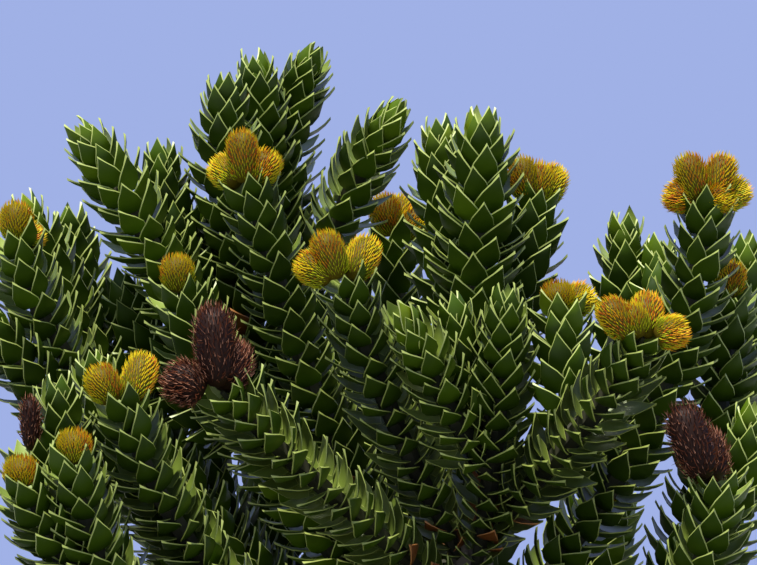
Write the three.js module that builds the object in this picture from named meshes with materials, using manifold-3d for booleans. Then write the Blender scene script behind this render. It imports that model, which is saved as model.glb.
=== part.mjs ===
// A monkey puzzle tree (Araucaria araucana), rooted in level ground, in millimetres with +Z up.
// The origin is the middle of the flat cut under the trunk. The front of the crown faces -Y.
import * as THREE from "three";
import { mergeVertices } from "three/addons/utils/BufferGeometryUtils.js";
import Module from "manifold-3d";

const wasm = await Module();
wasm.setup();

// Trunk
const trunkTop = 4640;
const trunkFootRadius = 118;
const trunkTopRadius = 25;
const trunkTaper = 0.92; // below 1 the foot loses its girth sooner
const trunkSides = 15;
const flareReach = 62; // how far the roots spread the foot
const flareHeight = 420;
const flareLobes = 5;
const trunkBow = 22; // sideways bow at half height
const trunkRingHeights = [0, 70, 170, 320, 600, 1200, 2000, 2900, 3800, trunkTop];

// Leafy shoots: a core that scale leaves stand out of
const shootSides = 3;
const coreRadius = 31;
const leafReach = 45; // leaf tips stand this far from the shoot's axis
const startShare = 0.5; // a shoot is slimmer where it leaves the trunk
const fattenOver = 170;
const fineStep = 104; // distance from one ring of leaves to the next, in the top of the crown
const coarseStep = 240; // and below it, where one leaf stands for several
const leafRunShare = 0.9; // a leaf's length along the shoot, as a share of the step
const budRise = 36; // the bud at a shoot's end, and its shares of core, reach and leaf length
const budCore = 0.8;
const budReach = 0.68;
const budLeaf = 0.7;
const limbSag = 18; // degrees below the straight way to its tip, where a limb sets out
const shootSag = 16;
const handleOut = 0.36; // how far a limb holds its first and last direction, as shares of its length
const handleIn = 0.34;
const smallest = 2.5; // detail under this size is smoothed away
const sliver = 0.12; // and what a cut leaves thinner than this
const keptClear = 9; // room kept round a shoot's corners, so that its faces stay clear too
const gap = 0.35; // every solid keeps this far from its neighbours
const elbowRoom = 0.92; // side shoots may brush leaves by this share
const sampleStep = 20;

// Cones
const coneWidths = { yellow: 42, brown: 56, spent: 26 };
const coneSides = 4;
const coneSunk = 10;
const coneProfile = [
  { radius: 0.36, along: 0 },
  { radius: 0.52, along: 0.5 },
  { radius: 0.2, along: 1 },
]; // shares of a cone's width and length
const coneDepth = 20; // how far apart in depth the cones of one tip stand
const coneFootOut = 0.35; // how far a cone's foot goes out towards its top, and up
const coneFootUp = 0.1;
const pairLength = 58; // the two cones on a whorl's tip, and how far to each side they stand and point
const pairFoot = 14;
const pairTop = 32;

const barkMaterial = new THREE.MeshStandardMaterial({ color: 0x6b5f52, roughness: 0.9, metalness: 0 });
const foliageMaterial = new THREE.MeshStandardMaterial({ color: 0x2f4a1c, roughness: 0.5, metalness: 0 });

const up = new THREE.Vector3(0, 0, 1);
const radians = THREE.MathUtils.degToRad;

// The top of the crown is laid out as it is seen from the front, from a little below.
const sightDistance = 9000;
const sightTilt = radians(6);
const sightAim = { across: -105, rise: 325, height: 4927 };

// A place in the crown, by how far right of the trunk and how far above the lower sight line it is seen,
// and by how far behind the trunk it stands.
function inSight([across, rise, behind]) {
  const side = across - sightAim.across;
  const lift = rise - sightAim.rise;
  const run = sightDistance * Math.cos(sightTilt);
  const share = (behind + run) / (run - lift * Math.sin(sightTilt));
  const drop = sightDistance * Math.sin(sightTilt);
  return new THREE.Vector3(
    sightAim.across + share * side,
    behind,
    sightAim.height - drop + share * (drop + lift * Math.cos(sightTilt)),
  );
}

// A repeatable number from -1 to 1.
function jitter(a, b) {
  const wave = Math.sin(a * 12.9898 + b * 78.233) * 43758.5453;
  return 2 * (wave - Math.floor(wave)) - 1;
}

function smooth(share) {
  const t = Math.min(1, Math.max(0, share));
  return t * t * (3 - 2 * t);
}

function solidFrom(points, faces) {
  const geometry = new THREE.BufferGeometry();
  const numbers = points.flatMap((p) => [p.x, p.y, p.z]);
  geometry.setAttribute("position", new THREE.Float32BufferAttribute(numbers, 3));
  geometry.setIndex(faces.flat());
  const merged = mergeVertices(geometry, 1e-3);
  return new wasm.Manifold(
    new wasm.Mesh({
      numProp: 3,
      vertProperties: merged.attributes.position.array,
      triVerts: new Uint32Array(merged.index.array),
    }),
  );
}

// Rings of equal count, joined into a closed skin with flat ends.
function skinOver(rings) {
  const count = rings[0].length;
  const faces = [];
  for (let k = 0; k + 1 < rings.length; k++) {
    for (let j = 0; j < count; j++) {
      const a = k * count + j;
      const b = k * count + ((j + 1) % count);
      faces.push([a, b, b + count], [a, b + count, a + count]);
    }
  }
  const last = (rings.length - 1) * count;
  for (let j = 1; j + 1 < count; j++) {
    faces.push([0, j + 1, j], [last, last + j, last + j + 1]);
  }
  return solidFrom(rings.flat(), faces);
}

function trunkRadius(height) {
  const share = height / trunkTop;
  return trunkFootRadius + (trunkTopRadius - trunkFootRadius) * share ** trunkTaper;
}

function trunkCentre(height) {
  return new THREE.Vector3(trunkBow * Math.sin((Math.PI * height) / trunkTop), 0, height);
}

function trunkSolid(grown = 0) {
  const rings = trunkRingHeights.map((height) =>
    Array.from({ length: trunkSides }, (_, j) => {
      const angle = (2 * Math.PI * j) / trunkSides;
      const fade = Math.max(0, 1 - height / flareHeight) ** 2;
      const flare = flareReach * fade * (0.6 + 0.4 * Math.cos(flareLobes * angle));
      const radius = trunkRadius(height) + flare + grown;
      const rise = height === trunkTop ? grown : 0;
      const rim = new THREE.Vector3(radius * Math.cos(angle), radius * Math.sin(angle), rise);
      return rim.add(trunkCentre(height));
    }),
  );
  return skinOver(rings);
}

// A limb leaves at one slope, swings up, and ends leaning out from upright.
function limbCurve(from, to, slope, lean) {
  const chord = to.clone().sub(from);
  const length = chord.length();
  const out = new THREE.Vector3(chord.x, chord.y, 0).normalize();
  const leave = out.clone().multiplyScalar(Math.cos(slope)).addScaledVector(up, Math.sin(slope));
  const arrive = out.clone().multiplyScalar(Math.sin(lean)).addScaledVector(up, Math.cos(lean));
  return new THREE.CubicBezierCurve3(
    from,
    from.clone().addScaledVector(leave, handleOut * length),
    to.clone().addScaledVector(arrive, -handleIn * length),
    to,
  );
}

function slopeOf(from, to) {
  const chord = to.clone().sub(from);
  return Math.atan2(chord.z, Math.hypot(chord.x, chord.y));
}

function aroundPoint(centre, normal, binormal, angle, radius) {
  return centre
    .clone()
    .addScaledVector(normal, radius * Math.cos(angle))
    .addScaledVector(binormal, radius * Math.sin(angle));
}

function girthAt(curve, share, slimStart) {
  return slimStart ? startShare + (1 - startShare) * smooth((share * curve.getLength()) / fattenOver) : 1;
}

// A leafy shoot: each ring is turned half a side from the one before, and each upright triangle between two
// rings is drawn out into a leaf. grown makes it stouter all round.
function shootSolid({ curve, slim, girth = 1 }, step, grown = 0) {
  const length = curve.getLength();
  const rings = Math.max(2, Math.round(length / step));
  const frames = curve.computeFrenetFrames(rings, false);
  const points = [];
  const faces = [];
  for (let k = 0; k <= rings; k++) {
    const centre = curve.getPointAt(k / rings);
    if (k === 0) centre.addScaledVector(frames.tangents[0], -0.5 * grown);
    const taper = girthAt(curve, k / rings, slim) * (k === rings ? budCore : 1);
    const radius = girth * coreRadius * taper + grown;
    for (let j = 0; j < shootSides; j++) {
      const angle = ((2 * j + k) * Math.PI) / shootSides;
      points.push(aroundPoint(centre, frames.normals[k], frames.binormals[k], angle, radius));
    }
  }
  const apex = points.length;
  points.push(curve.getPointAt(1).addScaledVector(frames.tangents[rings], budRise + grown));
  for (let k = 0; k <= rings; k++) {
    const isLast = k === rings;
    const run = isLast ? budLeaf * budRise : (leafRunShare * length) / rings;
    const foot = curve.getPointAt(k / rings).addScaledVector(frames.tangents[k], run);
    const taper = girthAt(curve, k / rings, slim) * (isLast ? budReach : 1);
    const reach = girth * leafReach * taper + grown;
    for (let j = 0; j < shootSides; j++) {
      const a = k * shootSides + j;
      const b = k * shootSides + ((j + 1) % shootSides);
      const above = isLast ? apex : a + shootSides;
      const angle = ((2 * j + 1 + k) * Math.PI) / shootSides;
      const tip = points.length;
      points.push(aroundPoint(foot, frames.normals[k], frames.binormals[k], angle, reach));
      faces.push([a, b, tip], [b, above, tip], [above, a, tip]);
      if (!isLast) faces.push([b, b + shootSides, above]);
    }
  }
  for (let j = 1; j + 1 < shootSides; j++) faces.push([0, j + 1, j]);
  return solidFrom(points, faces);
}

// A cone is widest halfway and sunk a little in its shoot.
function coneSolid({ kind, base, top }, grown = 0) {
  const axis = top.clone().sub(base);
  const length = axis.length();
  axis.normalize();
  const side = new THREE.Vector3(0, 1, 0).cross(axis).normalize();
  const other = axis.clone().cross(side);
  return skinOver(
    coneProfile.map(({ radius, along }, k) => {
      const end = k === 0 ? -coneSunk - grown : k === 2 ? grown : 0;
      const centre = base.clone().addScaledVector(axis, along * length + end);
      const room = radius * coneWidths[kind] + grown;
      return Array.from({ length: coneSides }, (_, j) =>
        aroundPoint(centre, side, other, (2 * Math.PI * j) / coneSides, room),
      );
    }),
  );
}

// The masses that stand so far
const standing = [];

function samplesOf({ curve, slim, girth = 1 }) {
  const count = Math.max(2, Math.round(curve.getLength() / sampleStep));
  return Array.from({ length: count + 1 }, (_, k) => ({
    place: curve.getPointAt(k / count),
    room: girth * leafReach * girthAt(curve, k / count, slim),
  }));
}

// A side shoot that would run into another mass isn't grown.
function isClear(shoot) {
  const others = standing.flatMap(({ samples }) => samples);
  return samplesOf(shoot).every(({ place, room }) =>
    others.every((other) => other.place.distanceTo(place) > elbowRoom * (other.room + room)),
  );
}

const trunkRoom = trunkSolid(gap);

// Each mesh is placed by its foot.
function addNode(group, name, solid, foot, material) {
  const { vertProperties, triVerts } = solid.translate([-foot.x, -foot.y, -foot.z]).getMesh();
  const geometry = new THREE.BufferGeometry();
  geometry.setAttribute("position", new THREE.BufferAttribute(new Float32Array(vertProperties), 3));
  geometry.setIndex(new THREE.BufferAttribute(new Uint32Array(triVerts), 1));
  const mesh = new THREE.Mesh(geometry, material);
  mesh.name = name;
  mesh.position.copy(foot);
  group.add(mesh);
}

function largestBody(solid) {
  return solid.decompose().reduce((best, body) => (body.volume() > best.volume() ? body : best));
}

// Where a mass still comes near one that is finished, it gives way on every side.
function giveWay(mass, finished) {
  if (mass.minGap(finished, gap) >= gap) return mass;
  const steps = [0, -gap, gap];
  const shifts = steps.flatMap((x) => steps.flatMap((y) => steps.map((z) => [x, y, z])));
  return shifts.reduce((rest, shift) => rest.subtract(finished.translate(shift)), mass);
}

// One mass: it is cut clear of the trunk and of every mass before it.
function addMass(group, name, shoots, step) {
  const parts = shoots.flatMap((shoot) => [
    shootSolid(shoot, step),
    ...shoot.fruit.map((cone) => coneSolid(cone)),
  ]);
  let mass = parts.reduce((whole, part) => whole.add(part));
  mass = mass.simplify(smallest).subtract(trunkRoom);
  for (const { wraps } of standing) {
    for (const wrap of wraps) {
      if (!mass.intersect(wrap).isEmpty()) mass = mass.subtract(wrap);
    }
  }
  mass = largestBody(mass);
  for (const { finished } of standing) mass = giveWay(mass, finished);
  mass = largestBody(mass.simplify(sliver));
  addNode(group, name, mass, shoots[0].curve.getPointAt(0), foliageMaterial);
  const wraps = shoots.flatMap((shoot) => [
    shootSolid(shoot, step, keptClear),
    ...shoot.fruit.map((cone) => coneSolid(cone, keptClear)),
  ]);
  standing.push({ owner: name, samples: shoots.flatMap(samplesOf), wraps, finished: mass });
}

// The top of the crown. Each limb starts on the trunk at a height and ends at the tip that is seen, and its
// side shoots start at a share of its length. In degrees, lean is how far a tip leans out from upright, and
// sag how far below the straight way to its tip a limb sets out. Cones are given by where their own tops are
// seen, and a tip with cones is the place that they stand on.
const crownTop = {
  leader: {
    start: trunkTop + gap,
    tip: [14, 524, 0],
    lean: 2,
    sag: 0,
    girth: 1.12,
    shoots: [
      { at: 0.34, tip: [-34, 515, 95], lean: 8 },
      { at: 0.3, tip: [73, 417, 95], lean: 14, cones: "yellow", tops: [[55, 474], [104, 462], [81, 468]] },
    ],
  },
  front_right_arm: {
    start: 4600,
    tip: [199, 262, -270],
    lean: 42,
    sag: -6,
    girth: 1.08,
    cones: "yellow",
    tops: [[150, 308], [205, 317], [255, 275], [179, 305]],
    shoots: [{ at: 0.6, tip: [104, 294, -110], lean: 4, cones: "yellow", tops: [[99, 330], [140, 320]] }],
  },
  front_centre: {
    start: 4565,
    tip: [40, 322, -165],
    lean: 12,
    sag: 12,
    shoots: [
      { at: 0.46, tip: [-70, 298, -190], lean: 44 },
      { at: 0.62, tip: [-14, 310, -130], lean: 10 },
    ],
  },
  front_crest: {
    start: 4585,
    tip: [-144, 328, -175],
    lean: 24,
    sag: 6,
    cones: "yellow",
    tops: [[-172, 388], [-112, 381], [-202, 355]],
  },
  front_left_arm: {
    start: 4540,
    tip: [-285, 199, -262],
    lean: 54,
    sag: -2,
    cones: "brown",
    tops: [[-297, 306], [-269, 264], [-356, 222]],
    shoots: [{ at: 0.68, tip: [-334, 314, -140], lean: 12, cones: "yellow", tops: [[-338, 361]] }],
  },
  left_crest: {
    start: 4490,
    tip: [-256, 438, -60],
    lean: 18,
    cones: "yellow",
    tops: [[-264, 505], [-296, 469], [-225, 480]],
  },
  tall_peak: {
    start: 4550,
    tip: [-187, 597, 150],
    lean: -34,
    shoots: [
      { at: 0.61, tip: [-94, 531, 60], lean: 44, sag: -4 },
      { at: 0.66, tip: [-245, 592, 120], lean: 2 },
    ],
  },
  left_peak: {
    start: 4468,
    tip: [-279, 569, 40],
    lean: -6,
    shoots: [{ at: 0.5, tip: [-302, 420, 110], lean: 6 }],
  },
  far_left_arm: {
    start: 4420,
    tip: [-435, 511, -10],
    lean: 33,
    sag: 12,
    shoots: [
      { at: 0.66, tip: [-354, 489, 70], lean: 2 },
      { at: 0.5, tip: [-396, 338, 70], lean: 14 },
    ],
  },
  left_edge: {
    start: 4370,
    tip: [-506, 428, 60],
    lean: 20,
    sag: 14,
    shoots: [
      { at: 0.52, tip: [-458, 416, 140], lean: 4, sag: 6 },
      { at: 0.6, tip: [-522, 372, -50], lean: 14, cones: "yellow", tops: [[-522, 422], [-495, 390]] },
      { at: 0.48, tip: [-548, 300, -60], lean: 40 },
    ],
  },
  low_left_arm: {
    start: 4340,
    tip: [-400, 187, -330],
    lean: 20,
    sag: 10,
    cones: "yellow",
    tops: [[-435, 232], [-370, 247]],
    shoots: [{ at: 0.62, tip: [-430, 250, -230], lean: 12 }],
  },
  corner_left_arm: {
    start: 4240,
    tip: [-458, 118, -390],
    lean: 12,
    cones: "yellow",
    tops: [[-453, 160]],
    shoots: [
      { at: 0.62, tip: [-471, 222, -285], lean: 4 },
      { at: 0.66, tip: [-514, 92, -380], lean: 26, cones: "yellow", tops: [[-518, 129]] },
      { at: 0.7, tip: [-504, 130, -310], lean: 8, cones: "spent", tops: [[-506, 199]] },
    ],
  },
  right_crest: {
    start: 4500,
    tip: [272, 418, -40],
    lean: 4,
    sag: 20,
    cones: "yellow",
    tops: [[246, 477], [258, 458], [296, 477], [220, 431], [323, 439], [304, 429]],
    shoots: [
      { at: 0.5, tip: [178, 407, 110], lean: -6 },
      { at: 0.66, tip: [218, 379, 90], lean: 4 },
    ],
  },
  right_edge: {
    start: 4300,
    tip: [298, 308, 40],
    lean: 2,
    sag: 34,
    cones: "yellow",
    tops: [[299, 354]],
    shoots: [{ at: 0.66, tip: [318, 382, 150], lean: 4 }],
  },
  low_right_arm: {
    start: 4350,
    tip: [286, 94, -240],
    lean: 4,
    cones: "brown",
    tops: [[238, 191], [264, 162]],
    shoots: [{ at: 0.6, tip: [322, 190, -130], lean: 8 }],
  },
  back_right_low: { start: 4330, tip: [164, 70, 190], lean: 10, cones: "yellow", tops: [[150, 100]] },
  back_centre: {
    start: 4440,
    tip: [-85, 378, 210],
    lean: 2,
    cones: "yellow",
    tops: [[-104, 431], [-77, 429], [-48, 411]],
  },
  back_left_low: {
    start: 4300,
    tip: [-239, 130, 215],
    lean: 10,
    shoots: [{ at: 0.5, tip: [-302, 160, 130], lean: 10 }],
  },
  behind_leader: { start: 4520, tip: [22, 345, 400], lean: 20 },
  behind_left: { start: 4360, tip: [-195, 265, 440], lean: 20 },
  behind_centre: { start: 4290, tip: [-60, 135, 590], lean: 26 },
  behind_right: { start: 4390, tip: [160, 180, 440], lean: 22 },
  behind_far_left: { start: 4240, tip: [-365, 130, 400], lean: 26 },
  behind_far_right: { start: 4240, tip: [292, 70, 400], lean: 26 },
};

// The table gives the point of a bud, and the axis ends below it.
function axisEnd({ tip, lean, cones }) {
  return inSight(tip).addScaledVector(up, cones ? 0 : -budRise * Math.cos(radians(lean)));
}

// Cones stand on the end of a shoot, or a little to the side of it, with their tops where they are seen.
function conesSeen({ curve, tip, cones, tops }) {
  const end = curve.getPointAt(1);
  return tops.map(([across, rise], i) => {
    const behind = tip[2] + coneDepth * Math.sin(2.4 * i - 1.3);
    const top = inSight([across, rise, behind]);
    const base = end.clone().lerp(top, coneFootOut).setZ(end.z + coneFootUp * (top.z - end.z));
    return { kind: cones, base, top };
  });
}

function topShoots(limb, name) {
  const from = trunkCentre(Math.min(limb.start, trunkTop)).setZ(limb.start);
  const to = axisEnd(limb);
  const slope = name === "leader" ? radians(90) : slopeOf(from, to) - radians(limb.sag ?? limbSag);
  const stem = limbCurve(from, to, slope, radians(limb.lean));
  const made = [{ ...limb, curve: stem, slim: true }];
  for (const shoot of limb.shoots ?? []) {
    const base = stem.getPointAt(shoot.at);
    const end = axisEnd(shoot);
    const leave = slopeOf(base, end) - radians(shoot.sag ?? shootSag);
    made.push({ ...shoot, curve: limbCurve(base, end, leave, radians(shoot.lean)) });
  }
  return made.map((shoot) => ({ ...shoot, fruit: shoot.cones ? conesSeen(shoot) : [] }));
}

// The whorls below, from the top down. bare is how much of each limb is a bough without leaves.
const whorls = [
  { height: 3980, count: 4, reach: 740, rise: 380, slope: 14, turn: 40, bare: 0 },
  { height: 3590, count: 4, reach: 900, rise: 360, slope: 8, turn: 0, bare: 0 },
  { height: 3190, count: 4, reach: 1030, rise: 320, slope: 2, turn: 52, bare: 0 },
  { height: 2770, count: 5, reach: 1120, rise: 250, slope: -6, turn: 18, bare: 0.26 },
  { height: 2320, count: 5, reach: 1130, rise: 150, slope: -13, turn: 60, bare: 0.34 },
];
const whorlLean = 38;
const boughFootRadius = 34;
const boughTipRadius = 21;
const boughSides = 8;
const boughRings = 4;
const sideStarts = [0.42, 0.44, 0.7]; // side shoots, as shares of a limb
const sideTurn = 50;
const sideLean = 32;
const sideRun = 0.52; // their reach, as a share of the limb's, less this much towards its tip
const sideRunFade = 0.34;
const sideRise = 0.34; // how far they climb for their run, and with their limb
const limbRise = 0.35;

// The part of a curve from one share to another.
function stretchOf(curve, from, to) {
  const [a, b, c, d] = [curve.v0, curve.v1, curve.v2, curve.v3];
  const blossom = (r, s, t) => {
    const [ab, bc, cd] = [a.clone().lerp(b, r), b.clone().lerp(c, r), c.clone().lerp(d, r)];
    return ab.lerp(bc, s).lerp(bc.clone().lerp(cd, s), t);
  };
  return new THREE.CubicBezierCurve3(
    blossom(from, from, from),
    blossom(from, from, to),
    blossom(from, to, to),
    blossom(to, to, to),
  );
}

// A bare bough is the inner stretch of a limb, round and tapered, with flat ends.
function boughSolid(curve) {
  const frames = curve.computeFrenetFrames(boughRings, false);
  const rings = [];
  for (let k = 0; k <= boughRings; k++) {
    const centre = curve.getPointAt(k / boughRings);
    const radius = boughFootRadius + ((boughTipRadius - boughFootRadius) * k) / boughRings;
    rings.push(
      Array.from({ length: boughSides }, (_, j) =>
        aroundPoint(centre, frames.normals[k], frames.binormals[k], (2 * Math.PI * j) / boughSides, radius),
      ),
    );
  }
  return skinOver(rings);
}

// Two cones, side by side on a tip.
function conePair(curve) {
  const end = curve.getPointAt(1);
  const tangent = curve.getTangentAt(1);
  const side = tangent.clone().cross(up).normalize();
  return [-1, 1].map((hand) => {
    const base = end.clone().addScaledVector(side, hand * pairFoot);
    const top = end.clone().addScaledVector(side, hand * pairTop).addScaledVector(tangent, pairLength);
    return { kind: "yellow", base, top };
  });
}

// A limb of a whorl, with side shoots to the left and right by turns.
function whorlShoots(whorl, w, i) {
  const angle = radians(whorl.turn + (360 * i) / whorl.count + 7 * jitter(w, i + 9));
  const reach = whorl.reach * (1 + 0.06 * jitter(w + 5, i));
  const from = trunkCentre(whorl.height + 30 * jitter(w + 3, i));
  const out = new THREE.Vector3(Math.cos(angle), Math.sin(angle), 0);
  const to = new THREE.Vector3(0, 0, from.z + whorl.rise).addScaledVector(out, reach);
  const stem = limbCurve(from, to, radians(whorl.slope), radians(whorlLean));
  const seed = 10 * w + i;
  const made = [];
  if (whorl.bare) {
    const leafy = stretchOf(stem, whorl.bare, 1);
    leafy.v0.addScaledVector(leafy.getTangentAt(0), gap);
    made.push({ curve: leafy, bough: stretchOf(stem, 0, whorl.bare), fruit: [] });
  } else {
    made.push({ curve: stem, slim: true, fruit: w < 2 && i % 2 ? conePair(stem) : [] });
  }
  sideStarts.forEach((at, k) => {
    const hand = (i + k) % 2 ? 1 : -1;
    const base = stem.getPointAt(at + 0.03 * jitter(seed, k));
    const turn = angle + hand * radians(sideTurn + 8 * jitter(seed, k + 7));
    const run = reach * (sideRun - sideRunFade * at) * (1 + 0.12 * jitter(seed, k + 13));
    const end = base.clone().add(new THREE.Vector3(run * Math.cos(turn), run * Math.sin(turn), 0));
    end.z += sideRise * run + limbRise * whorl.rise * (0.4 + 0.6 * at);
    const shoot = { curve: limbCurve(base, end, radians(0.5 * whorl.slope), radians(sideLean)), fruit: [] };
    if (isClear(shoot)) made.push(shoot);
  });
  return made;
}

const tree = new THREE.Group();
addNode(tree, "trunk", trunkSolid(), new THREE.Vector3(), barkMaterial);

const top = new THREE.Group();
tree.add(top);
Object.entries(crownTop).forEach(([name, limb]) => addMass(top, name, topShoots(limb, name), fineStep));

whorls.forEach((whorl, w) => {
  const tier = new THREE.Group();
  tree.add(tier);
  for (let i = 0; i < whorl.count; i++) {
    const name = `whorl_${whorls.length - w}_${i + 1}`;
    const shoots = whorlShoots(whorl, w, i);
    const bough = shoots[0].bough;
    if (bough) {
      const solid = boughSolid(bough).subtract(trunkRoom).simplify(sliver);
      addNode(tier, `${name}_bough`, solid, bough.v0, barkMaterial);
    }
    addMass(tier, `${name}_spray`, shoots, coarseStep);
  }
});

export default tree;
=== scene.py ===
# The monkey puzzle tree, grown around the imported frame.
from math import atan2, cos, floor, hypot, pi, radians, sin

import bmesh
import bpy
import numpy as np
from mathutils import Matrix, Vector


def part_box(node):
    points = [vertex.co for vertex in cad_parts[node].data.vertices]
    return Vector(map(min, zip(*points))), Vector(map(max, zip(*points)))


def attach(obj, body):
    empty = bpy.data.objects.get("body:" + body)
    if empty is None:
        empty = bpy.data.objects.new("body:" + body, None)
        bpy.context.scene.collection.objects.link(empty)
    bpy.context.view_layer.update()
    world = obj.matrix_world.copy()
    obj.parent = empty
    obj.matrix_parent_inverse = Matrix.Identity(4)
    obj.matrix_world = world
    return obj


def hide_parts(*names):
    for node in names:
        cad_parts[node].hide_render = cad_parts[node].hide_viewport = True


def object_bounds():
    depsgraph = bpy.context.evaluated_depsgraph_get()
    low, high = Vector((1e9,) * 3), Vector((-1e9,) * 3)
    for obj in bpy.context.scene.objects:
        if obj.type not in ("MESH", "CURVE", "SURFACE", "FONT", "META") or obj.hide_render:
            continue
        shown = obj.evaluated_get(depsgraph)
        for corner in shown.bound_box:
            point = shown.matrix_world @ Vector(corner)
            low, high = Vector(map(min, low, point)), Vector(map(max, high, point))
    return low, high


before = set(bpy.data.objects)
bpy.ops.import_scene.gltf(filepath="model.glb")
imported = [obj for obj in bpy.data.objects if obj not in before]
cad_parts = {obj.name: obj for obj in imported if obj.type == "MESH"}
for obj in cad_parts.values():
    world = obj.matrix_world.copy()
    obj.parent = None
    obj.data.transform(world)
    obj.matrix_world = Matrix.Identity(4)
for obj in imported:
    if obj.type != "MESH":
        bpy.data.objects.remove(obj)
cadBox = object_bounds()

# Growth is worked out in millimetres, as in the solids, and turned into metres in the meshes.
mm = 0.001
up = np.array([0.0, 0.0, 1.0])
goldenAngle = radians(137.508)


def unit(vectors):
    return vectors / np.linalg.norm(vectors, axis=-1, keepdims=True)


def smooth(share):
    t = np.clip(share, 0, 1)
    return t * t * (3 - 2 * t)


def jitter(a, b):  # a repeatable number from -1 to 1
    wave = sin(a * 12.9898 + b * 78.233) * 43758.5453
    return 2 * (wave - floor(wave)) - 1


def screenColour(red, green, blue):  # a colour as it looks on screen, made linear for the shaders
    shares = [value / 255 for value in (red, green, blue)]
    return tuple(c / 12.92 if c < 0.04045 else ((c + 0.055) / 1.055) ** 2.4 for c in shares) + (1.0,)


# Limbs: cubic curves in an upright plane
limbRule = dict(
    handleOut=0.36,  # how far a limb holds its first and last direction, as shares of its length
    handleIn=0.34,
    limbSag=18,  # degrees below the straight way to its tip, where it sets out
    shootSag=16, budRise=36, coreReach=45, startShare=0.5, fattenOver=170, elbowRoom=0.92,
    sampleStep=20, gap=0.35,
)
trunkLook = dict(
    top=4640, footRadius=118, topRadius=25, taper=0.92, flareReach=62, flareHeight=420,
    flareLobes=5,
    flareValley=0.6,  # the flare's reach between its lobes, as a share
    bow=22,
    bowAtCrown=0.2,  # the share of the bow among the upper limbs' feet
)
sight = {"distance": 9000, "tilt": radians(6), "across": -105, "rise": 325, "height": 4927}


def inSight(seen):  # right of the trunk, above the lower sight line, and behind the trunk
    across, rise, behind = seen
    side = across - sight["across"]
    lift = rise - sight["rise"]
    run = sight["distance"] * cos(sight["tilt"])
    share = (behind + run) / (run - lift * sin(sight["tilt"]))
    drop = sight["distance"] * sin(sight["tilt"])
    height = sight["height"] - drop + share * (drop + lift * cos(sight["tilt"]))
    return np.array([sight["across"] + share * side, behind, height])


def levelAt(angle):
    return np.array([cos(angle), sin(angle), 0.0])


def trunkCentre(height):
    bow = trunkLook["bow"] * sin(pi * height / trunkLook["top"])
    return np.array([bow, 0.0, height])


def limbCurve(start, end, slope, lean):
    chord = end - start
    length = np.linalg.norm(chord)
    out = unit(np.array([chord[0], chord[1], 0.0]))
    leave = cos(slope) * out + sin(slope) * up
    arrive = sin(lean) * out + cos(lean) * up
    first = start + limbRule["handleOut"] * length * leave
    last = end - limbRule["handleIn"] * length * arrive
    return np.array([start, first, last, end])


def slopeOf(start, end):
    chord = end - start
    return atan2(chord[2], hypot(chord[0], chord[1]))


class Shoot:  # a leafy stretch of limb
    def __init__(self, curve, girth=1.0, slim=False, fruit=()):
        self.curve = curve
        self.girth = girth
        self.slim = slim
        self.fruit = list(fruit)
        self.steps = np.linspace(0, 1, 201)
        path = self.places(self.steps)
        self.run = np.append(0, np.cumsum(np.linalg.norm(np.diff(path, axis=0), axis=1)))
        self.length = self.run[-1]
        chord = curve[3] - curve[0]
        self.level = unit(np.cross([chord[0], chord[1], 0.0], up))

    def places(self, t):
        a, b, c, d = self.curve
        t = np.asarray(t)[..., None]
        return (1 - t) ** 3 * a + 3 * (1 - t) ** 2 * t * b + 3 * (1 - t) * t**2 * c + t**3 * d

    def along(self, shares):  # places and directions at shares of the length
        a, b, c, d = self.curve
        t = np.interp(np.asarray(shares) * self.length, self.run, self.steps)
        s = t[..., None]
        heading = (1 - s) ** 2 * (b - a) + 2 * (1 - s) * s * (c - b) + s**2 * (d - c)
        return self.places(t), unit(heading)

    def sideAt(self, tangents):  # square to the shoot, and as level as can be
        return unit(self.level - (tangents @ self.level)[..., None] * tangents)

    def girthAt(self, shares):
        if not self.slim:
            return self.girth * np.ones_like(shares)
        start = limbRule["startShare"]
        return self.girth * (start + (1 - start) * smooth(shares * self.length / limbRule["fattenOver"]))

    def samples(self):
        count = max(2, round(self.length / limbRule["sampleStep"]))
        shares = np.linspace(0, 1, count + 1)
        return self.along(shares)[0], limbRule["coreReach"] * self.girthAt(shares)


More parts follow.
